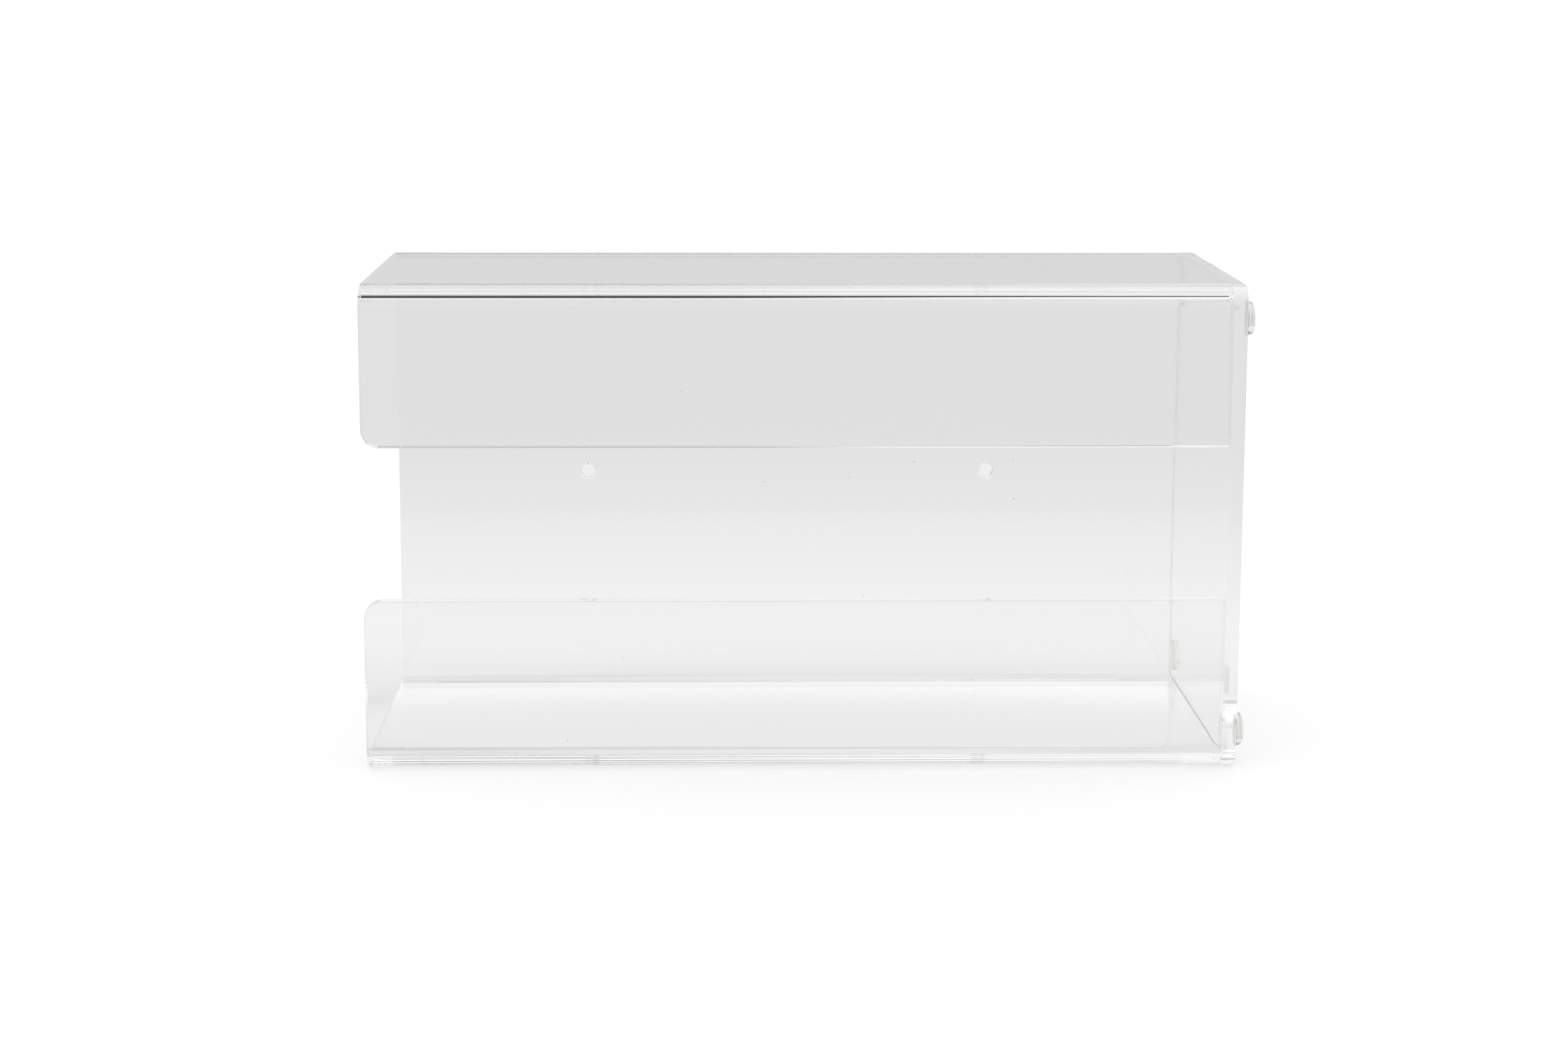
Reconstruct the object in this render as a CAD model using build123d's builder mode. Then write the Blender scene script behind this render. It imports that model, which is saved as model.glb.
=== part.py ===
from build123d import *

import os

# Clear acrylic card deck box: a bent C-shaped channel, closed at one end by a cemented panel on four feet.
#
# The channel is one sheet, bent four times about lines along X: top lip, top, back, bottom and bottom lip.
# Its left end is open, so that boxed decks slide in, and the slot between the two lips shows them.
# The row of decks runs along X. The box rests on its bottom, or stands on the feet of the closed end.
#
# Frame: +X towards the closed end, +Y towards the wall side, +Z up, in millimetres. The origin is the
# middle of the footprint, at the level of the underside.

# Driving dimensions
SHEET = 3.0  # acrylic sheet thickness
CHANNEL_LENGTH = 179.0  # open end to the cemented joint: room for a row of boxed decks
OUTER_DEPTH = 74.0  # a 66 mm wide deck box and 1 mm each side, between two sheets
OUTER_HEIGHT = 102.0  # a 92 mm tall deck box and 2 mm each side, between two sheets
TOP_LIP = 33.5  # height of the front lip that hangs from the top
BOTTOM_LIP = 36.3  # height of the front lip that stands on the bottom
BEND_INNER_R = 2.0
LIP_CORNER_R = 3.8  # free corners of the lips, at the open end
PANEL_CORNER_R = 4.2
WALL_HOLE_R = 1.6
WALL_HOLE_SPACING = 92.0
CEMENT_FILM = 0.15  # cement between the channel's end and the panel
CEMENT_BEAD = 0.4  # leg of the bead squeezed out along the inner corner
FOOT_BASE_R = 3.6
FOOT_TOP_R = 3.4
FOOT_HEIGHT = 1.5
FOOT_EDGE_R = 0.7  # rounding of the foot's resting edge
FOOT_INSET_Y = 3.8  # foot centre to the panel's front or back edge
LOWER_FEET_Z = 7.7  # the feet are stuck on by hand, so the two rows aren't quite alike
UPPER_FEET_DOWN = 7.0  # foot centre below the panel's upper edge
ADHESIVE_R = 3.5
ADHESIVE_FILM = 0.12

# Places worked out from them
TOTAL_LENGTH = CHANNEL_LENGTH + CEMENT_FILM + SHEET + ADHESIVE_FILM + FOOT_HEIGHT
OPEN_END_X = -TOTAL_LENGTH / 2
JOINT_X = OPEN_END_X + CHANNEL_LENGTH
PANEL_X = JOINT_X + CEMENT_FILM
PANEL_OUTER_X = PANEL_X + SHEET
FOOT_X = PANEL_OUTER_X + ADHESIVE_FILM
FRONT_Y = -OUTER_DEPTH / 2
BACK_Y = OUTER_DEPTH / 2
TOP_LIP_EDGE_Z = OUTER_HEIGHT - TOP_LIP
BEND_OUTER_R = BEND_INNER_R + SHEET
ACROSS = Plane.YZ  # the section across the channel: local x is Y and local y is Z


def sheet_outline(inset: float) -> list[tuple[float, float]]:
    """Corners of the C, from the top lip's edge round to the bottom lip's edge, moved in by inset."""
    return [
        (FRONT_Y + inset, TOP_LIP_EDGE_Z),
        (FRONT_Y + inset, OUTER_HEIGHT - inset),
        (BACK_Y - inset, OUTER_HEIGHT - inset),
        (BACK_Y - inset, inset),
        (FRONT_Y + inset, inset),
        (FRONT_Y + inset, BOTTOM_LIP),
    ]


def sheet_section(x: float) -> Sketch:
    """Cut end of the bent sheet, as a face across the channel at x."""
    with BuildSketch(ACROSS.offset(x)) as section:
        with BuildLine():
            outside = FilletPolyline(*sheet_outline(0), radius=BEND_OUTER_R)
            inside = FilletPolyline(*sheet_outline(SHEET), radius=BEND_INNER_R)
            Line(outside @ 0, inside @ 0)
            Line(outside @ 1, inside @ 1)
        make_face()
    return section.sketch


# Channel: the bent sheet, with rounded lip corners at the open end and two screw holes in its back.
with BuildPart() as channel:
    extrude(sheet_section(OPEN_END_X), amount=CHANNEL_LENGTH)
    open_end_edges = channel.edges().filter_by(Axis.Y).group_by(Axis.X)[0]
    lip_corners = open_end_edges.filter_by_position(Axis.Z, BOTTOM_LIP - 1, TOP_LIP_EDGE_Z + 1)
    fillet(lip_corners, LIP_CORNER_R)
    back_face = Plane(
        origin=(OPEN_END_X + CHANNEL_LENGTH / 2, BACK_Y, OUTER_HEIGHT / 2),
        x_dir=(1, 0, 0),
        z_dir=(0, 1, 0),
    )
    with Locations(back_face):
        with GridLocations(WALL_HOLE_SPACING, 0, 2, 1):
            Hole(WALL_HOLE_R, depth=SHEET)
channel.part.label = "channel"

# Cement seam: a film over the channel's cut end, and the bead squeezed out along the inner corner.
with BuildPart() as cement_seam:
    extrude(sheet_section(JOINT_X), amount=CEMENT_FILM)
    with BuildLine(ACROSS.offset(PANEL_X)) as inner_corner:
        FilletPolyline(*sheet_outline(SHEET), radius=BEND_INNER_R)
    with BuildSketch(Plane(origin=inner_corner.line @ 0, z_dir=inner_corner.line % 0)):
        Polygon((0, 0), (-CEMENT_BEAD, 0), (0, CEMENT_BEAD), align=None)
    sweep(path=inner_corner.line)
cement_seam.part.label = "cement_seam"

# End panel: the flat sheet that closes the channel, a little squarer at its corners than the bends.
with BuildPart() as end_panel:
    with BuildSketch(ACROSS.offset(PANEL_X)):
        with Locations((0, OUTER_HEIGHT / 2)):
            RectangleRounded(OUTER_DEPTH, OUTER_HEIGHT, PANEL_CORNER_R)
    extrude(amount=SHEET)
end_panel.part.label = "end_panel"

pieces = [channel, cement_seam, end_panel]

# Feet: a clear moulded button at each corner of the panel, each on its own disc of adhesive.
foot_places = {
    "bottom_front": (FRONT_Y + FOOT_INSET_Y, LOWER_FEET_Z),
    "bottom_back": (BACK_Y - FOOT_INSET_Y, LOWER_FEET_Z),
    "top_front": (FRONT_Y + FOOT_INSET_Y, OUTER_HEIGHT - UPPER_FEET_DOWN),
    "top_back": (BACK_Y - FOOT_INSET_Y, OUTER_HEIGHT - UPPER_FEET_DOWN),
}
for place, (foot_y, foot_z) in foot_places.items():
    with BuildPart() as adhesive:
        with BuildSketch(ACROSS.offset(PANEL_OUTER_X)):
            with Locations((foot_y, foot_z)):
                Circle(ADHESIVE_R)
        extrude(amount=ADHESIVE_FILM)
    adhesive.part.label = f"foot_adhesive_{place}"

    # half the foot's section: local x is Y, away from the foot's middle, and local y is X
    foot_plane = Plane(origin=(FOOT_X, foot_y, foot_z), x_dir=(0, 1, 0), z_dir=(0, 0, -1))
    with BuildPart() as foot:
        with BuildSketch(foot_plane):
            Polygon((0, 0), (FOOT_BASE_R, 0), (FOOT_TOP_R, FOOT_HEIGHT), (0, FOOT_HEIGHT), align=None)
        revolve(axis=Axis((FOOT_X, foot_y, foot_z), (1, 0, 0)))
        resting_edge = foot.edges().filter_by(GeomType.CIRCLE).sort_by(Axis.X)[-1]
        fillet(resting_edge, FOOT_EDGE_R)
    foot.part.label = f"foot_{place}"
    pieces += [adhesive, foot]

os.makedirs("parts", exist_ok=True)
for piece in pieces:
    export_step(piece.part, f"parts/{piece.part.label}.step")
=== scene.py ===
import logging
import math
from collections.abc import Callable
from dataclasses import dataclass, field
from enum import Enum

import bmesh
import bpy
from mathutils import Matrix, Vector


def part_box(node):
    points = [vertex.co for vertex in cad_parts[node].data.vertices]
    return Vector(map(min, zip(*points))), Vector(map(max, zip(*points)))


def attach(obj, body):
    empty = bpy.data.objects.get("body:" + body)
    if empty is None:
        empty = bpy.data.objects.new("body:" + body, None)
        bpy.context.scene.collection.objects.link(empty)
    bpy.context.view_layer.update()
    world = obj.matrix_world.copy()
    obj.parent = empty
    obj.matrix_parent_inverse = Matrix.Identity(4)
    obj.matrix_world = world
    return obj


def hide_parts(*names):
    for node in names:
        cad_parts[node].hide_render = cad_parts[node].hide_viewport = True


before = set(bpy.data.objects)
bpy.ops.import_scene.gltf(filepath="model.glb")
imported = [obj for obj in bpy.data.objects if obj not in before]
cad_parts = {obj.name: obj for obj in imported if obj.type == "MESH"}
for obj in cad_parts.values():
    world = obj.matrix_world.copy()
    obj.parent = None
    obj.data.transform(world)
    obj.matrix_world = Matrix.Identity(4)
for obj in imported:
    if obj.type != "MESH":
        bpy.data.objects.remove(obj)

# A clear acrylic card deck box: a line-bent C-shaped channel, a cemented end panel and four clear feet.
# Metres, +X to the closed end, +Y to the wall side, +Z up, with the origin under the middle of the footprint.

LOG = logging.getLogger("card_deck_box")
MM = 0.001
TOUCH = 0.02 * MM  # how far wetted pieces reach into each other, so that light crosses a cemented face
MERGE = 0.0001 * MM  # points closer than this are one
CORNER_SEGMENTS = 14  # steps round a rounded corner of the sheet
RIGHT_ANGLE = math.pi / 2
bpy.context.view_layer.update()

Colour = tuple[float, float, float, float]
Range = tuple[float, float]


class Slot(Enum):
    """Material slots of the record."""

    ACRYLIC = "acrylic"
    CEMENT = "cement"
    FOOT = "foot"
    ADHESIVE = "adhesive"


# ---------------------------------------------------------------------------------------------------------
# Modelling bench


def deselect_everything() -> None:
    """Leaves object mode with nothing selected."""
    if bpy.context.mode != "OBJECT":
        bpy.ops.object.mode_set(mode="OBJECT")
    bpy.ops.object.select_all(action="DESELECT")


def make_active(piece: bpy.types.Object) -> None:
    """Selects one piece alone and makes it active."""
    deselect_everything()
    piece.select_set(True)
    bpy.context.view_layer.objects.active = piece


class Bench:
    """One piece in edit mode, with its elements picked by a test on their place or normal."""

    sharp_over = 40.0  # degrees between two faces past which their edge counts as sharp

    def __init__(self, piece: bpy.types.Object) -> None:
        """Takes the piece to work on."""
        self.piece = piece

    def __enter__(self) -> "Bench":
        """Opens the piece in edit mode, with nothing selected."""
        make_active(self.piece)
        bpy.ops.object.mode_set(mode="EDIT")
        bpy.ops.mesh.select_all(action="DESELECT")
        return self

    def __exit__(self, *problem: object) -> None:
        """Closes edit mode."""
        bpy.ops.object.mode_set(mode="OBJECT")

    def _pick(self, kind: str, test: Callable[..., bool]) -> int:
        """Selects only the vertices, edges or faces that pass a test.

        Args:
            kind: "VERT", "EDGE" or "FACE".
            test: takes the bmesh element and says whether it is wanted.

        Returns:
            How many were selected.
        """
        bpy.ops.mesh.select_all(action="DESELECT")
        bpy.ops.mesh.select_mode(type=kind)
        mesh = bmesh.from_edit_mesh(self.piece.data)
        elements = {"VERT": mesh.verts, "EDGE": mesh.edges, "FACE": mesh.faces}[kind]
        wanted = [element for element in elements if test(element)]
        for element in wanted:
            element.select_set(True)
        mesh.select_flush_mode()
        bmesh.update_edit_mesh(self.piece.data)
        return len(wanted)

    def pick_verts(self, test: Callable[[bmesh.types.BMVert], bool]) -> int:
        """Selects the vertices that pass a test and returns their number."""
        return self._pick("VERT", test)

    def pick_edges(self, test: Callable[[Vector, Vector], bool]) -> int:
        """Selects the edges whose two ends pass a test and returns their number."""
        return self._pick("EDGE", lambda edge: test(edge.verts[0].co, edge.verts[1].co))

    def pick_sharp(self, test: Callable[[Vector, Vector], bool]) -> int:
        """Selects the sharp edges whose two ends pass a test and returns their number."""
        sharp = math.radians(self.sharp_over)
        return self._pick(
            "EDGE",
            lambda edge: edge.calc_face_angle(0) > sharp and test(edge.verts[0].co, edge.verts[1].co),
        )

    def pick_faces(self, test: Callable[[Vector, Vector], bool]) -> int:
        """Selects the faces whose middle and normal pass a test and returns their number."""
        return self._pick("FACE", lambda face: test(face.calc_center_median(), face.normal))


def near(a: float, b: float, room: float = 1e-6) -> bool:
    """Says whether two lengths agree within a micron or the given room."""
    return abs(a - b) < room


def apply_modifier(piece: bpy.types.Object, name: str, kind: str, **settings: object) -> None:
    """Adds a modifier with its settings and applies it.

    Args:
        piece: the piece it works on.
        name: the modifier's name.
        kind: Blender's name for the kind of modifier.
        settings: its properties and their values.
    """
    make_active(piece)
    modifier = piece.modifiers.new(name, kind)
    for key, value in settings.items():
        setattr(modifier, key, value)
    bpy.ops.object.modifier_apply(modifier=modifier.name)


def smooth_bends(piece: bpy.types.Object, sharp_over: float = 14.0) -> None:
    """Shades the bends smooth and keeps the flats truly flat.

    Args:
        piece: the finished mesh.
        sharp_over: angle in degrees past which an edge stays sharp.
    """
    make_active(piece)
    bpy.ops.object.shade_smooth_by_angle(angle=math.radians(sharp_over))
    apply_modifier(piece, "flat_normals", "WEIGHTED_NORMAL", mode="FACE_AREA", weight=100, keep_sharp=True)


def place_piece(piece: bpy.types.Object, slot: Slot, *nodes: str) -> None:
    """Puts a finished piece on the frame in place of its CAD nodes.

    Args:
        piece: the finished piece.
        slot: the record's material slot; not used.
        nodes: the CAD nodes that it stands for.
    """
    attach(piece, "root")
    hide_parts(*nodes)
    LOG.info("%s: %d faces, for %s", piece.name, len(piece.data.polygons), ", ".join(nodes))


# ---------------------------------------------------------------------------------------------------------
# Shader node helpers and shared effects


def grey(shade: float) -> Colour:
    """Returns an opaque grey of the given brightness."""
    return (shade, shade, shade, 1.0)


class Graph:
    """A node tree that is written as short lines of nodes and links."""

    def __init__(self, tree: bpy.types.NodeTree) -> None:
        """Takes the tree to write in."""
        self.tree = tree

    def node(self, kind: str, settings: dict[str, object] | None = None, **inputs: object) -> bpy.types.Node:
        """Adds a node.

        Args:
            kind: the node's type, without its ShaderNode prefix.
            settings: its properties and their values.
            inputs: input sockets by name, with spaces as underscores, each a value or another socket.

        Returns:
            The new node.
        """
        made = self.tree.nodes.new(kind if kind.startswith("Node") else "ShaderNode" + kind)
        for key, value in (settings or {}).items():
            setattr(made, key, value)
        for key, value in inputs.items():
            self.feed(made.inputs[key.replace("_", " ")], value)
        return made

    def feed(self, socket: bpy.types.NodeSocket, value: object) -> None:
        """Links a socket to another, or sets its plain value."""
        if isinstance(value, bpy.types.NodeSocket):
            self.tree.links.new(value, socket)
        else:
            socket.default_value = value

    def math(self, operation: str, *terms: object) -> bpy.types.NodeSocket:
        """Adds a Math node and returns its result.

        Args:
            operation: Blender's name for the operation.
            terms: one to three values or sockets.

        Returns:
            The result's socket.
        """
        made = self.tree.nodes.new("ShaderNodeMath")
        made.operation = operation
        for socket, term in zip(made.inputs, terms):
            self.feed(socket, term)
        return made.outputs[0]

    def blend(self, factor: object, a: object, b: object) -> bpy.types.NodeSocket:
        """Mixes two colours by a factor and returns the result."""
        made = self.tree.nodes.new("ShaderNodeMix")
        made.data_type = "RGBA"
        for index, value in ((0, factor), (6, a), (7, b)):
            self.feed(made.inputs[index], value)
        return made.outputs[2]

    def map_range(self, value: object, start: Range, to: Range, smooth: bool = False) -> bpy.types.NodeSocket:
        """Maps a value from one range to another and returns the result.

        Args:
            value: the value or socket to map.
            start: the range it comes from.
            to: the range it goes to.
            smooth: whether it eases in and out.

        Returns:
            The result's socket.
        """
        made = self.node(
            "MapRange",
            {"interpolation_type": "SMOOTHSTEP" if smooth else "LINEAR"},
            Value=value, From_Min=start[0], From_Max=start[1], To_Min=to[0], To_Max=to[1],
        )
        return made.outputs[0]

    def greys(self, along: object, shades: dict[float, float]) -> bpy.types.NodeSocket:
        """Grades grey by a ramp.

        Args:
            along: the socket that the ramp reads, from 0 to 1.
            shades: brightness by place on the ramp.

        Returns:
            The grey's colour socket.
        """
        ramp = self.node("ValToRGB", Fac=along)
        points = ramp.color_ramp.elements
        while len(points) > 1:
            points.remove(points[-1])
        for index, (place, shade) in enumerate(shades.items()):
            point = points[0] if index == 0 else points.new(place)
            point.position = place
            point.color = grey(shade)
        return ramp.outputs[0]

    def ease(self, value: object, low: float, high: float) -> bpy.types.NodeSocket:
        """Rises smoothly from 0 to 1 between two values and returns the result."""
        return self.map_range(value, (low, high), (0, 1), smooth=True)

    def fade(self, value: object, low: float, high: float) -> bpy.types.NodeSocket:
        """Falls smoothly from 1 to 0 between two values and returns the result."""
        return self.map_range(value, (low, high), (1, 0), smooth=True)


class SharedEffect:
    """A node group that several finishes use, built once."""

    name = "effect"
    inputs: dict[str, float] = {}
    outputs: dict[str, str] = {}

    def group(self) -> bpy.types.ShaderNodeTree:
        """Returns the node group, and builds it the first time."""
        known = bpy.data.node_groups.get(self.name)
        if known:
            return known
        tree = bpy.data.node_groups.new(self.name, "ShaderNodeTree")
        for label, value in self.inputs.items():
            socket = tree.interface.new_socket(label, in_out="INPUT", socket_type="NodeSocketFloat")
            socket.default_value = value
        for label, kind in self.outputs.items():
            tree.interface.new_socket(label, in_out="OUTPUT", socket_type="NodeSocket" + kind)
        graph = Graph(tree)
        self.draw(graph, graph.node("NodeGroupInput"), graph.node("NodeGroupOutput"))
        return tree

    def draw(self, graph: Graph, given: bpy.types.Node, result: bpy.types.Node) -> None:
        """Writes the group's nodes between its inputs and its outputs."""
        raise NotImplementedError

    def add_to(self, graph: Graph, **values: object) -> bpy.types.Node:
        """Places the group in a material.

        Args:
            graph: the material's graph.
            values: the group's inputs by name, with spaces as underscores.

        Returns:
            The group's node.
        """
        made = graph.tree.nodes.new("ShaderNodeGroup")
        made.node_tree = self.group()
        for key, value in values.items():
            graph.feed(made.inputs[key.replace("_", " ")], value)
        return made


class DustSpecks(SharedEffect):
    """Rare specks of dust and tiny bubbles, one in a few cells of a fine grid."""

    name = "dust_specks"
    inputs = {"Per Metre": 260.0, "Share": 0.02, "Size": 0.035}
    outputs = {"Mask": "Float"}
    smallest = 0.4  # added to each cell's random size, from 0 to 1

    def draw(self, graph: Graph, given: bpy.types.Node, result: bpy.types.Node) -> None:
        """Keeps a small round spot in the few cells whose random shade is high enough."""
        place = graph.node("TexCoord").outputs["Object"]
        cells = graph.node("TexVoronoi", {"feature": "F1"}, Vector=place, Scale=given.outputs["Per Metre"])
        shade = graph.node("SeparateColor", Color=cells.outputs["Color"])
        chosen = graph.math("GREATER_THAN", given.outputs["Share"], shade.outputs[0])
        share_of_size = graph.math("ADD", shade.outputs[1], self.smallest)
        size = graph.math("MULTIPLY", given.outputs["Size"], share_of_size)
        spot = graph.math("GREATER_THAN", size, cells.outputs["Distance"])
        graph.feed(result.inputs["Mask"], graph.math("MULTIPLY", chosen, spot))


class SheetWaves(SharedEffect):
    """The slow swell of cast sheet, which makes reflections wander."""

    name = "sheet_waves"
    inputs = {"Along": 7.0, "Across": 26.0}
    outputs = {"Height": "Float"}

    def draw(self, graph: Graph, given: bpy.types.Node, result: bpy.types.Node) -> None:
        """Puts out a soft noise that is longer along the sheet than across it."""
        place = graph.node("SeparateXYZ", Vector=graph.node("TexCoord").outputs["Object"])
        along = graph.math("MULTIPLY", place.outputs[0], given.outputs["Along"])
        across = graph.math("MULTIPLY", place.outputs[1], given.outputs["Across"])
        up = graph.math("MULTIPLY", place.outputs[2], given.outputs["Across"])
        stretched = graph.node("CombineXYZ", X=along, Y=across, Z=up)
        swell = graph.node("TexNoise", Vector=stretched.outputs[0], Scale=1.0, Detail=1.0, Roughness=0.4)
        graph.feed(result.inputs["Height"], swell.outputs[0])


class CutterMarks(SharedEffect):
    """Fine lines that a cutter leaves along the panel's edge, each at its own depth in the thickness."""

    name = "cutter_marks"
    inputs = {"Per Metre": 2400.0}
    outputs = {"Height": "Float"}

    def draw(self, graph: Graph, given: bpy.types.Node, result: bpy.types.Node) -> None:
        """Puts out lines of uneven depth across the panel's thickness."""
        place = graph.node("SeparateXYZ", Vector=graph.node("TexCoord").outputs["Object"])
        across = graph.math("MULTIPLY", place.outputs[0], given.outputs["Per Metre"])
        lines = graph.node(
            "TexNoise", {"noise_dimensions": "1D"}, W=across, Scale=1.0, Detail=2.0, Roughness=0.7
        )
        graph.feed(result.inputs["Height"], lines.outputs[0])


# ---------------------------------------------------------------------------------------------------------
# Finishes


@dataclass(frozen=True)
class ClearFinish:
    """A clear plastic that refracts, with specks of dust and a slow swell of its surface.

    Its polish is 0 for a mirror finish and rises as the surface dulls. With no specks or no relief, that part
    of the material isn't built.
    """

    name: str
    tint: tuple[float, float, float] = (0.978, 0.979, 0.978)
    polish: float = 0.0
    ior: float = 1.49
    speck_share: float = 0.04
    speck_colour: tuple[float, float, float] = (0.25, 0.23, 0.2)
    relief: float = 0.001 * MM

    def height(self, graph: Graph) -> bpy.types.NodeSocket:
        """Returns the socket of the surface's height."""
        return SheetWaves().add_to(graph).outputs["Height"]

    def material(self) -> bpy.types.Material:
        """Returns the finish's material, and builds it the first time."""
        known = bpy.data.materials.get(self.name)
        if known:
            return known
        made = bpy.data.materials.new(self.name)
        made.use_nodes = True
        made.node_tree.nodes.clear()
        graph = Graph(made.node_tree)
        clear, speck = (*self.tint, 1.0), (*self.speck_colour, 1.0)
        plastic = graph.node(
            "BsdfPrincipled", Base_Color=clear, Roughness=self.polish, IOR=self.ior, Transmission_Weight=1.0
        )
        if self.speck_share:
            dust = DustSpecks().add_to(graph, Share=self.speck_share)
            graph.feed(plastic.inputs["Base Color"], graph.blend(dust.outputs["Mask"], clear, speck))
        if self.relief:
            swell = graph.node("Bump", Height=self.height(graph), Distance=self.relief, Strength=1.0)
            graph.feed(plastic.inputs["Normal"], swell.outputs[0])
        graph.node("OutputMaterial", Surface=plastic.outputs[0])
        return made


@dataclass(frozen=True)
class LinedEdge(ClearFinish):
    """A cut edge that is as clear as the sheet, but a little dull and lined by the cutter."""

    def height(self, graph: Graph) -> bpy.types.NodeSocket:
        """Returns the socket of the height of the cutter's lines."""
        return CutterMarks().add_to(graph).outputs["Height"]


POLISHED_SHEET = ClearFinish("acrylic_sheet")
CHANNEL_EDGE = ClearFinish("channel_cut_edge", polish=0.03, relief=0.0)
PANEL_EDGE = LinedEdge("panel_cut_edge", polish=0.03, relief=0.008 * MM)
CEMENT_FILM = ClearFinish("cement_film", tint=(0.998, 0.998, 0.997), speck_share=0.0, relief=0.0)
CEMENT_BEAD = ClearFinish("cement_bead", tint=(0.98, 0.98, 0.97), polish=0.06, ior=1.06, relief=0.005 * MM)
SOFT_FOOT = ClearFinish(
    "soft_clear_foot", tint=(0.985, 0.981, 0.965), polish=0.2, ior=1.35, relief=0.002 * MM
)
ADHESIVE = ClearFinish("clear_adhesive", tint=(0.97, 0.965, 0.945), polish=0.12, speck_share=0.1)


# ---------------------------------------------------------------------------------------------------------
# The box's own sub-assemblies


@dataclass
class BentSection:
    """The C-shaped path of the bent sheet, seen along the channel, which several pieces follow."""

    low: Vector
    high: Vector
    bend: float = 5.0 * MM
    top_lip: float = 33.5 * MM
    bottom_lip: float = 36.3 * MM
    steps: int = 24

    @property
    def lip_edges(self) -> tuple[float, float]:
        """Heights of the top lip's and the bottom lip's free edges."""
        return self.high.z - self.top_lip, self.low.z + self.bottom_lip

    def turns(self) -> list[tuple[Vector, Vector]]:
        """Returns each bend's centre with the straight run that follows it, from the top lip round."""
        low, high, bend = self.low, self.high, self.bend
        deep = high.y - low.y - 2 * bend
        tall = high.z - low.z - 2 * bend
        return [
            (Vector((0, low.y + bend, high.z - bend)), Vector((0, deep, 0))),
            (Vector((0, high.y - bend, high.z - bend)), Vector((0, 0, -tall))),
            (Vector((0, high.y - bend, low.z + bend)), Vector((0, -deep, 0))),
            (Vector((0, low.y + bend, low.z + bend)), Vector((0, 0, self.lip_edges[1] - low.z - bend))),
        ]

    def strip(self, name: str) -> bpy.types.Object:
        """Builds the sheet's outer face as one bent strip.

        Args:
            name: the new piece's name.

        Returns:
            The strip, an open mesh whose faces point out of the box.
        """
        low, high = self.low, self.high
        start = self.lip_edges[0]
        end = high.z - self.bend
        deselect_everything()
        middle = ((low.x + high.x) / 2, low.y, (start + end) / 2)
        bpy.ops.mesh.primitive_plane_add(size=1.0, location=middle, rotation=(RIGHT_ANGLE, 0, 0))
        strip = bpy.context.object
        strip.name = name
        strip.scale = (high.x - low.x, end - start, 1)
        bpy.ops.object.transform_apply(location=True, rotation=True, scale=True)
        with Bench(strip) as bench:
            bench.pick_edges(lambda a, b: near(a.z, end) and near(b.z, end))
            for centre, run in self.turns():
                bpy.ops.mesh.spin(
                    steps=self.steps, angle=RIGHT_ANGLE, center=centre, axis=(1, 0, 0), use_auto_merge=False
                )
                bpy.ops.mesh.extrude_region_move(TRANSFORM_OT_translate={"value": run})
            bpy.ops.mesh.select_all(action="SELECT")
            bpy.ops.mesh.remove_doubles(threshold=MERGE)
            bpy.ops.mesh.normals_make_consistent(inside=False)
        return strip


@dataclass
class Channel:
    """The bent sheet: lips, top, back and bottom, with rounded lip corners and two holes for screws."""

    section: BentSection
    sheet: float
    lip_corner: float = 3.8 * MM
    hole_radius: float = 1.6 * MM
    hole_spacing: float = 92.0 * MM
    hole_sides: int = 64
    arris: float = 0.25 * MM  # softening of the cut edges, all but those on the cemented end

    def build(self) -> bpy.types.Object:
        """Models the channel and returns it."""
        section = self.section
        channel = section.strip("bent_channel")
        free = section.lip_edges
        with Bench(channel) as bench:
            bench.pick_verts(
                lambda v: near(v.co.x, section.low.x) and any(near(v.co.z, edge) for edge in free)
            )
            bpy.ops.mesh.bevel(
                offset=self.lip_corner, affect="VERTICES", segments=CORNER_SEGMENTS, profile=0.5
            )
        for finish in (POLISHED_SHEET, CHANNEL_EDGE):
            channel.data.materials.append(finish.material())
        apply_modifier(
            channel, "thickness", "SOLIDIFY", thickness=self.sheet, offset=-1, use_even_offset=True,
            material_offset_rim=1,
        )
        self.drill(channel)
        with Bench(channel) as bench:
            bench.pick_sharp(lambda a, b: min(a.x, b.x) < section.high.x - self.arris)
            bpy.ops.mesh.bevel(offset=self.arris, segments=3, miter_outer="ARC")
        smooth_bends(channel)
        return channel

    def drill(self, channel: bpy.types.Object) -> None:
        """Drills the two screw holes through the back, on the channel's middle."""
        low, high = self.section.low, self.section.high
        middle = Vector(((low.x + high.x) / 2, high.y - self.sheet / 2, (low.z + high.z) / 2))
        for side in (-0.5, 0.5):
            deselect_everything()
            bpy.ops.mesh.primitive_cylinder_add(
                vertices=self.hole_sides, radius=self.hole_radius, depth=3 * self.sheet,
                rotation=(RIGHT_ANGLE, 0, 0), location=middle + Vector((side * self.hole_spacing, 0, 0)),
            )
            drill = bpy.context.object
            drill.data.materials.append(CHANNEL_EDGE.material())
            apply_modifier(channel, "drill", "BOOLEAN", object=drill, operation="DIFFERENCE", solver="EXACT")
            bpy.data.objects.remove(drill)


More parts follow.
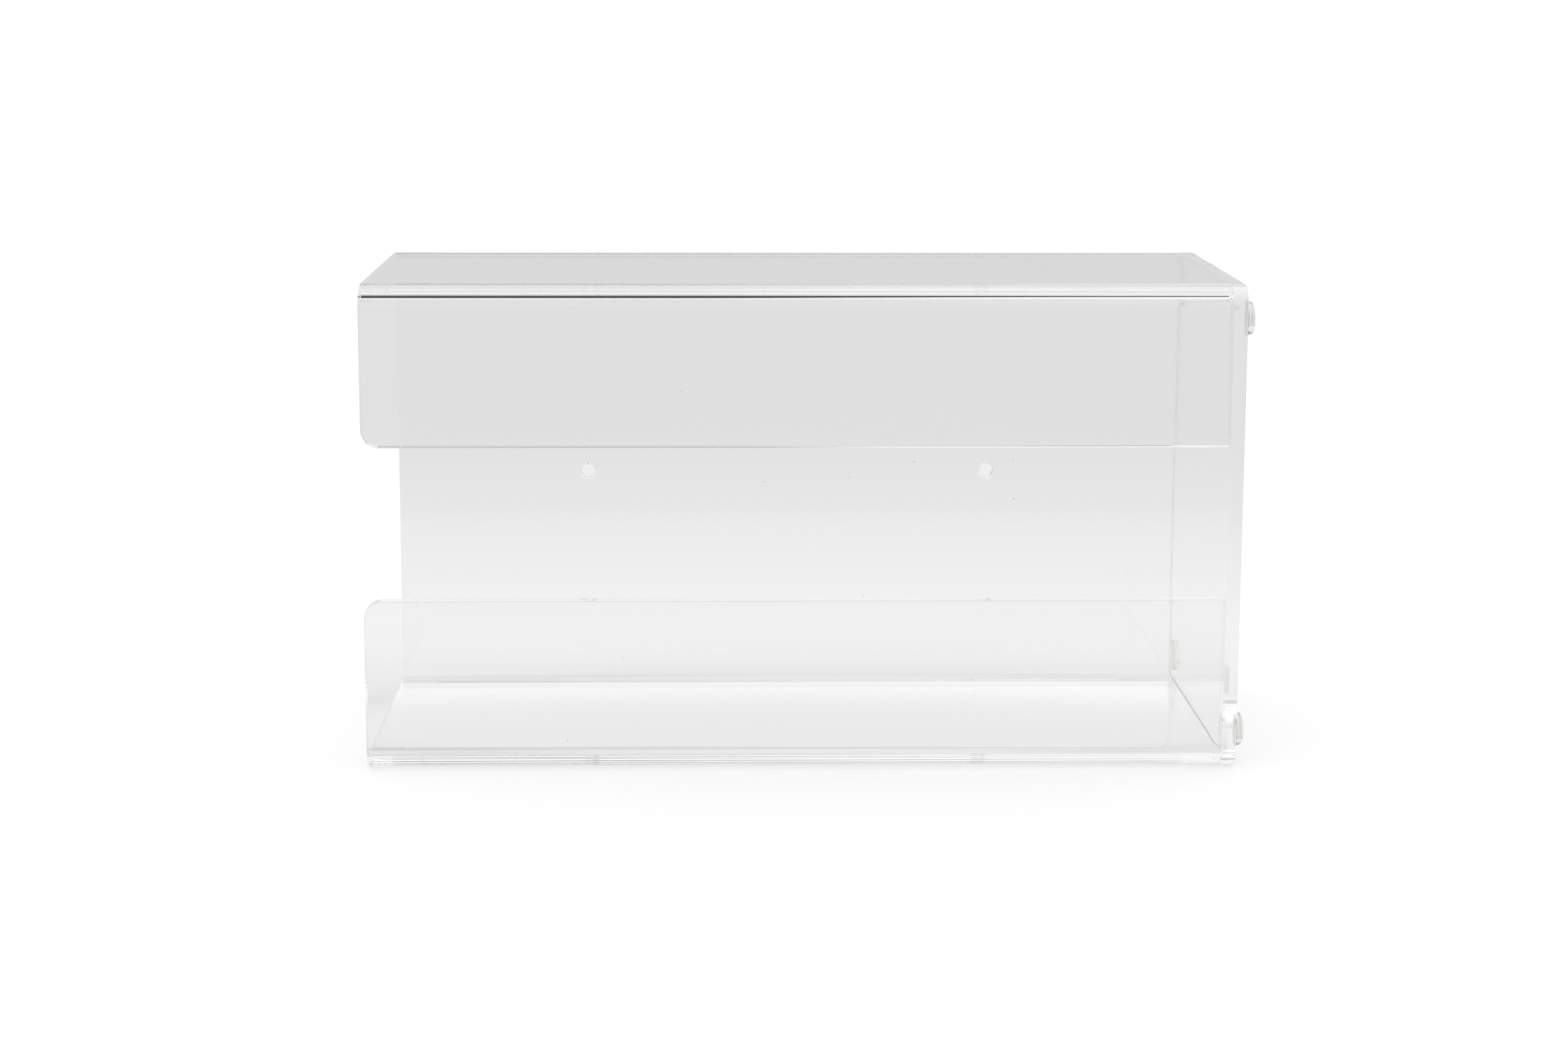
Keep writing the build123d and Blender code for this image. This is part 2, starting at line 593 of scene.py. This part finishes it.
@dataclass
class EndPanel:
    """The flat sheet that closes the channel, with rounded corners and cut edges all round."""

    low: Vector
    high: Vector
    corner: float = 4.2 * MM
    arris: float = 0.25 * MM  # softening of the outer face's edges

    def build(self) -> bpy.types.Object:
        """Models the panel and returns it."""
        low, high = self.low, self.high
        deselect_everything()
        middle = (high.x, (low.y + high.y) / 2, (low.z + high.z) / 2)
        bpy.ops.mesh.primitive_plane_add(size=1.0, location=middle, rotation=(0, RIGHT_ANGLE, 0))
        panel = bpy.context.object
        panel.name = "end_panel_sheet"
        panel.scale = (high.z - low.z, high.y - low.y, 1)
        bpy.ops.object.transform_apply(location=True, rotation=True, scale=True)
        with Bench(panel) as bench:
            bench.pick_verts(lambda v: True)
            bpy.ops.mesh.bevel(offset=self.corner, affect="VERTICES", segments=CORNER_SEGMENTS, profile=0.5)
        for finish in (POLISHED_SHEET, PANEL_EDGE):
            panel.data.materials.append(finish.material())
        apply_modifier(
            panel, "thickness", "SOLIDIFY", thickness=high.x - low.x, offset=-1, use_even_offset=True,
            material_offset_rim=1,
        )
        with Bench(panel) as bench:
            bench.pick_sharp(lambda a, b: a.x > middle[0] - self.arris)
            bpy.ops.mesh.bevel(offset=self.arris, segments=3)
        smooth_bends(panel)
        return panel


@dataclass
class CementSeam:
    """The solvent cement at the panel: a thin film, and a bead squeezed out into the inner corner."""

    section: BentSection
    sheet: float
    panel_x: float
    leg: float = 0.4 * MM
    hollow: float = 0.14  # profile of the bead's open face, where 0.5 would be a round and 0.25 flat
    hollow_share: float = 0.9  # share of the leg that the open face takes
    shy: float = 0.01 * MM  # how far the film stays inside the sheet's faces
    ring_every: float = 1.3 * MM
    unevenness: float = 0.3 * MM
    swell_size: float = 3.5 * MM
    swell_level: float = 0.45  # shade of the cloud texture at which the open face stays where it is

    def build(self) -> list[bpy.types.Object]:
        """Models the film and the bead and returns them."""
        return [self.film(), self.bead()]

    def film(self) -> bpy.types.Object:
        """Models the film over the channel's cut end, a little shy of the sheet's faces."""
        low, high = self.section.low, self.section.high
        inward = Vector((0, self.shy, self.shy))
        inner = BentSection(
            Vector((high.x - TOUCH, low.y, low.z)) + inward,
            Vector((self.panel_x + TOUCH, high.y, high.z)) - inward,
            bend=self.section.bend - self.shy,
            top_lip=self.section.top_lip - 2 * self.shy,
            bottom_lip=self.section.bottom_lip - 2 * self.shy,
        )
        film = inner.strip("cement_film")
        film.data.materials.append(CEMENT_FILM.material())
        apply_modifier(
            film, "thickness", "SOLIDIFY", thickness=self.sheet - 2 * self.shy, offset=-1,
            use_even_offset=True,
        )
        smooth_bends(film)
        return film

    def bead(self) -> bpy.types.Object:
        """Models the bead: a hollow-faced fillet that follows the inner corner with an uneven face."""
        low, high = self.section.low, self.section.high
        start = self.section.lip_edges[0]
        inner_y = low.y + self.sheet
        size = self.leg + TOUCH
        deselect_everything()
        bpy.ops.mesh.primitive_plane_add(
            size=size, location=(self.panel_x + TOUCH - size / 2, inner_y - TOUCH + size / 2, start)
        )
        bead = bpy.context.object
        bead.name = "cement_bead"
        bpy.ops.object.transform_apply(location=True, rotation=True, scale=True)
        tip_x, tip_y = self.panel_x - self.leg, inner_y + self.leg
        with Bench(bead) as bench:
            bench.pick_verts(lambda v: near(v.co.x, tip_x) and near(v.co.y, tip_y))
            bpy.ops.mesh.bevel(
                offset=self.hollow_share * self.leg, affect="VERTICES", segments=5, profile=self.hollow
            )
            bench.pick_faces(lambda middle, normal: True)
            self.run(Vector((0, 0, high.z - self.section.bend - start)))
            for centre, straight in self.section.turns():
                bpy.ops.mesh.spin(steps=8, angle=RIGHT_ANGLE, center=centre, axis=(1, 0, 0))
                self.run(straight)
            bpy.ops.mesh.select_all(action="SELECT")
            bpy.ops.mesh.remove_doubles(threshold=MERGE)
            bpy.ops.mesh.normals_make_consistent(inside=False)
        self.make_uneven(bead)
        bead.data.materials.append(CEMENT_BEAD.material())
        smooth_bends(bead, sharp_over=50.0)
        return bead

    def run(self, straight: Vector) -> None:
        """Extrudes the selected end along a straight run, ring by ring."""
        rings = math.ceil(straight.length / self.ring_every)
        for _ in range(rings):
            bpy.ops.mesh.extrude_region_move(TRANSFORM_OT_translate={"value": straight / rings})

    def make_uneven(self, bead: bpy.types.Object) -> None:
        """Lets the bead's open face swell and shrink along the corner."""
        inner_y = abs(self.section.low.y) - self.sheet
        low, high = self.section.low.z + self.sheet, self.section.high.z - self.sheet

        def is_open(v: bmesh.types.BMVert) -> bool:
            """Says whether a vertex is on the open face, clear of the panel and the channel."""
            inside = abs(v.co.y) < inner_y - TOUCH and low + TOUCH < v.co.z < high - TOUCH
            return inside and v.co.x < self.panel_x - TOUCH

        group = bead.vertex_groups.new(name="open_face")
        with Bench(bead) as bench:
            bench.pick_verts(is_open)
            bpy.ops.object.vertex_group_assign()
        swell = bpy.data.textures.new("bead_swell", "CLOUDS")
        swell.noise_scale = self.swell_size
        apply_modifier(
            bead, "uneven", "DISPLACE", texture=swell, strength=self.unevenness,
            mid_level=self.swell_level, vertex_group=group.name, texture_coords="LOCAL",
        )


@dataclass
class Foot:
    """A clear moulded button on its disc of adhesive, made once and copied to each corner of the panel."""

    top_ratio: float = 0.944  # radius at the resting face, for 1 at the base
    rim: float = 0.7 * MM
    dimple: float = 0.08 * MM
    dimple_slope: float = 0.9 * MM  # width of the dimple's side inside the rim, and of a ring on its floor
    base_edge: float = 0.12 * MM
    disc_edge: float = 0.03 * MM
    sides: int = 72
    places: tuple[str, ...] = ("bottom_front", "bottom_back", "top_front", "top_back")

    def button(self, low: Vector, high: Vector) -> bpy.types.Object:
        """Models one button: tapered, with a rounded rim and a faint dimple in its resting face.

        Args:
            low: the foot's lowest corner.
            high: the foot's highest corner.

        Returns:
            The button.
        """
        radius = (high.z - low.z) / 2
        deselect_everything()
        bpy.ops.mesh.primitive_cylinder_add(
            vertices=self.sides, radius=radius, depth=high.x - low.x, rotation=(0, RIGHT_ANGLE, 0),
            location=(low + high) / 2,
        )
        button = bpy.context.object
        bpy.ops.object.transform_apply(location=True, rotation=True, scale=True)
        middle = Vector((high.x, (low.y + high.y) / 2, (low.z + high.z) / 2))
        with Bench(button) as bench:
            bench.pick_faces(lambda centre, normal: normal.x > 0.9)
            bpy.ops.transform.resize(value=(1, self.top_ratio, self.top_ratio), center_override=middle)
            bpy.ops.mesh.inset(thickness=self.rim + self.dimple_slope)
            bpy.ops.transform.translate(value=(-self.dimple, 0, 0))
            bpy.ops.mesh.inset(thickness=self.dimple_slope)
            well_out = self.top_ratio * radius - self.rim
            bench.pick_edges(
                lambda a, b: near(a.x, high.x) and near(b.x, high.x)
                and min((a - middle).length, (b - middle).length) > well_out
            )
            bpy.ops.mesh.bevel(offset=self.rim, segments=7, profile=0.5)
            bench.pick_edges(lambda a, b: near(a.x, low.x) and near(b.x, low.x))
            bpy.ops.mesh.bevel(offset=self.base_edge, segments=2)
        button.data.materials.append(SOFT_FOOT.material())
        smooth_bends(button, sharp_over=35.0)
        return button

    def disc(self, low: Vector, high: Vector) -> bpy.types.Object:
        """Models one adhesive disc, which reaches a touch into the panel and the button."""
        deselect_everything()
        bpy.ops.mesh.primitive_cylinder_add(
            vertices=self.sides, radius=(high.z - low.z) / 2, depth=high.x - low.x + 2 * TOUCH,
            rotation=(0, RIGHT_ANGLE, 0), location=(low + high) / 2,
        )
        disc = bpy.context.object
        bpy.ops.object.transform_apply(location=True, rotation=True, scale=True)
        with Bench(disc) as bench:
            bench.pick_edges(lambda a, b: near(a.x, b.x))
            bpy.ops.mesh.bevel(offset=self.disc_edge, segments=2)
        disc.data.materials.append(ADHESIVE.material())
        smooth_bends(disc, sharp_over=35.0)
        return disc

    def copies(self, first: bpy.types.Object, prefix: str) -> list[bpy.types.Object]:
        """Copies a piece from the first corner to the others, each with its own mesh.

        Args:
            first: the piece at the first corner.
            prefix: the start of the CAD nodes' names.

        Returns:
            All the pieces, the first one included.
        """
        first.name = f"{prefix}{self.places[0]}_piece"
        made = [first]
        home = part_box(prefix + self.places[0])[0]
        for place in self.places[1:]:
            make_active(first)
            bpy.ops.object.duplicate(linked=False)
            copy = bpy.context.object
            copy.name = f"{prefix}{place}_piece"
            copy.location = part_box(prefix + place)[0] - home
            bpy.ops.object.transform_apply(location=True, rotation=False, scale=False)
            made.append(copy)
        return made

    def build(self) -> None:
        """Models the feet and their discs and puts them on the frame."""
        for prefix, model, slot in (
            ("foot_", self.button, Slot.FOOT),
            ("foot_adhesive_", self.disc, Slot.ADHESIVE),
        ):
            pieces = self.copies(model(*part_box(prefix + self.places[0])), prefix)
            for piece, place in zip(pieces, self.places):
                place_piece(piece, slot, prefix + place)


# ---------------------------------------------------------------------------------------------------------
# Studio


@dataclass
class StudioCamera:
    """The camera in front of the slot, a little above the box and turned slightly to the closed end."""

    lens: float = 65.59
    sensor: float = 36.0
    eye: Vector = field(default_factory=lambda: Vector((-0.01937, -0.6163, 0.1665)))
    tilt_down: float = 9.204
    turn_right: float = 1.423
    roll: float = 0.179
    fall: float = -0.06
    nearest: float = 10 * MM

    def build(self) -> None:
        """Places the camera and makes it the scene's own."""
        data = bpy.data.cameras.new("studio_camera")
        data.lens = self.lens
        data.sensor_width = self.sensor
        data.shift_y = self.fall
        data.clip_start = self.nearest
        camera = bpy.data.objects.new("studio_camera", data)
        bpy.context.scene.collection.objects.link(camera)
        turn = Matrix.Rotation(-math.radians(self.turn_right), 4, "Z")
        tilt = Matrix.Rotation(RIGHT_ANGLE - math.radians(self.tilt_down), 4, "X")
        roll = Matrix.Rotation(math.radians(self.roll), 4, "Z")
        camera.matrix_world = Matrix.Translation(self.eye) @ turn @ tilt @ roll
        bpy.context.scene.camera = camera


@dataclass
class Room:
    """The surround: white to the eye, and a softly graded room with one dark card behind to all else.

    The card's sizes are parts of a unit direction: along the box, to the wall side and up. It is taller to
    the left than to the right.
    """

    white: Colour = grey(1.0)
    # brightness by degrees above the horizon
    shades: dict[float, float] = field(
        default_factory=lambda: {
            0: 0.72, 5: 0.66, 9: 0.74, 13: 1.2, 14: 1.5, 14.35: 1.2,
            14.7: 0.93, 15.1: 0.86, 20: 0.85, 30: 1.05, 90: 1.3,
        }
    )
    card: Colour = grey(0.02)
    card_middle: float = 0.68
    card_half: Range = (0.31, 0.15)  # half its height, to the left and to the right
    card_narrows: Range = (-0.02, 0.2)  # where it changes from one to the other
    card_left_end: Range = (-0.15, -0.13)
    card_depth: Range = (0.1, 0.2)
    card_edge: float = 0.02

    def card_mask(self, graph: Graph, way: bpy.types.Node) -> bpy.types.NodeSocket:
        """Masks the dark card.

        Args:
            graph: the world's graph.
            way: the node that gives the direction's three parts.

        Returns:
            The mask's socket, 1 on the card.
        """
        along, behind, up = way.outputs
        half = graph.map_range(along, self.card_narrows, self.card_half)
        off_middle = graph.math("ABSOLUTE", graph.math("SUBTRACT", up, self.card_middle))
        inside = graph.ease(graph.math("SUBTRACT", half, off_middle), -self.card_edge, self.card_edge)
        past_left = graph.ease(along, *self.card_left_end)
        ends = graph.math("MULTIPLY", graph.ease(behind, *self.card_depth), past_left)
        return graph.math("MULTIPLY", inside, ends)

    def build(self) -> None:
        """Paints the world."""
        world = bpy.data.worlds.new("soft_studio")
        bpy.context.scene.world = world
        world.use_nodes = True
        world.node_tree.nodes.clear()
        graph = Graph(world.node_tree)
        way = graph.node("SeparateXYZ", Vector=graph.node("TexCoord").outputs["Generated"])
        by_height = {math.sin(math.radians(angle)): shade for angle, shade in self.shades.items()}
        walls = graph.greys(way.outputs[2], by_height)
        room = graph.blend(self.card_mask(graph, way), walls, self.card)
        path = graph.node("LightPath")
        plain = graph.math("MAXIMUM", path.outputs["Is Camera Ray"], path.outputs["Is Diffuse Ray"])
        light = graph.node("Background", Color=graph.blend(plain, room, self.white), Strength=1.0)
        graph.node("OutputWorld", Surface=light.outputs[0])


@dataclass
class BoxShadow:
    """The soft pale shadow that is painted on the floor behind the box, in metres."""

    half: float = 0.085
    spread: float = 0.139  # growth of its half width for each metre back
    drift: float = 0.0285  # its way to the closed end for each metre back
    starts: Range = (0.0, 0.04)
    ends: Range = (0.3, 0.5)
    soft_from: float = 0.6  # share of its half width where its sides begin to fade

    def mask(self, graph: Graph) -> bpy.types.NodeSocket:
        """Returns the socket of the shadow's mask, 1 where it is darkest."""
        place = graph.node("SeparateXYZ", Vector=graph.node("TexCoord").outputs["Object"])
        behind = place.outputs[1]
        off_middle = graph.math("SUBTRACT", place.outputs[0], graph.math("MULTIPLY", behind, self.drift))
        half = graph.math("MULTIPLY_ADD", behind, self.spread, self.half)
        off_middle = graph.math("ABSOLUTE", graph.math("DIVIDE", off_middle, half))
        across = graph.fade(off_middle, self.soft_from, 1.0)
        along = graph.math("MULTIPLY", graph.ease(behind, *self.starts), graph.fade(behind, *self.ends))
        return graph.math("MULTIPLY", across, along)


@dataclass
class Floor:
    """The pale floor: white and matt to the eye, and graded round the box in painted light and shade when
    seen through it.
    """

    shadow: BoxShadow = field(default_factory=BoxShadow)
    size: float = 40.0
    gap: float = 0.1 * MM  # keeps the floor clear of the box's underside
    matt: Range = (0.4, 0.32)  # paint in the open and in the painted shadow
    lift: Range = (0.66, 0.53)  # glow that brings it to white, in the open and in the painted shadow
    squeeze: float = 0.35  # depth of the graded rings, for 1 along the box
    # brightness of the painted light and shade, by millimetres in front of or behind the box's middle
    # the dip at 41 mm is a painted contact shadow just behind the box
    shades: dict[float, float] = field(
        default_factory=lambda: {
            0: 0.86, 34: 0.86, 41: 0.78, 50: 0.84, 80: 0.9,
            115: 0.92, 160: 0.88, 228: 0.85, 265: 0.81, 400: 0.77,
        }
    )

    def glow(self, graph: Graph) -> bpy.types.Node:
        """Returns the glow that the floor has when it is seen through the box, graded as painted light and
        shade.
        """
        squeezed = graph.node("Mapping", Vector=graph.node("TexCoord").outputs["Object"])
        squeezed.inputs["Scale"].default_value = (self.squeeze, 1.0, 0.0)
        away = graph.node("VectorMath", {"operation": "LENGTH"}, Vector=squeezed.outputs[0]).outputs["Value"]
        far = max(self.shades) * MM
        by_place = {away_mm * MM / far: shade for away_mm, shade in self.shades.items()}
        return graph.node("Emission", Color=graph.greys(graph.math("DIVIDE", away, far), by_place))

    def paint(self, graph: Graph) -> bpy.types.Node:
        """Returns the matt white paint that the eye sees, a little darker in the painted shadow behind the
        box.
        """
        shadow = self.shadow.mask(graph)
        matt = graph.node("BsdfDiffuse", Color=graph.blend(shadow, *map(grey, self.matt)))
        lift = graph.node("Emission", Color=graph.blend(shadow, *map(grey, self.lift)))
        lit = graph.node("AddShader")
        graph.feed(lit.inputs[0], matt.outputs[0])
        graph.feed(lit.inputs[1], lift.outputs[0])
        return lit

    def material(self) -> bpy.types.Material:
        """Returns the floor's material."""
        pale = bpy.data.materials.new("pale_floor")
        pale.use_nodes = True
        pale.node_tree.nodes.clear()
        graph = Graph(pale.node_tree)
        both = graph.node("MixShader", Fac=graph.node("LightPath").outputs["Is Camera Ray"])
        graph.feed(both.inputs[1], self.glow(graph).outputs[0])
        graph.feed(both.inputs[2], self.paint(graph).outputs[0])
        graph.node("OutputMaterial", Surface=both.outputs[0])
        return pale

    def build(self) -> None:
        """Lays the floor just under the box."""
        deselect_everything()
        bpy.ops.mesh.primitive_plane_add(size=self.size, location=(0, 0, -self.gap))
        floor = bpy.context.object
        floor.name = "studio_floor"
        floor.data.materials.append(self.material())


@dataclass
class Studio:
    """A pale floor, a soft surround, the camera and enough bounces of light."""

    clear_bounces: int = 160  # lets light run along the clear sheets
    matt_bounces: int = 4

    def set_up(self) -> None:
        """Prepares everything that isn't the object."""
        for part in (StudioCamera(), Room(), Floor()):
            part.build()
        scene = bpy.context.scene
        scene.view_settings.view_transform = "Standard"
        scene.cycles.max_bounces = self.clear_bounces
        scene.cycles.transmission_bounces = self.clear_bounces
        scene.cycles.glossy_bounces = self.clear_bounces
        scene.cycles.diffuse_bounces = self.matt_bounces


def main() -> None:
    """Builds the box on its frame, piece by piece, and sets up the studio."""
    logging.basicConfig(level=logging.INFO, format="%(name)s %(message)s")
    low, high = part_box("channel")
    panel_low, panel_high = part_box("end_panel")
    section = BentSection(low, high)
    channel = Channel(section, sheet=panel_high.x - panel_low.x)
    place_piece(channel.build(), Slot.ACRYLIC, "channel")
    place_piece(EndPanel(panel_low, panel_high).build(), Slot.ACRYLIC, "end_panel")
    for piece in CementSeam(section, channel.sheet, panel_low.x).build():
        place_piece(piece, Slot.CEMENT, "cement_seam")
    Foot().build()
    Studio().set_up()


if __name__ == "__main__":
    main()
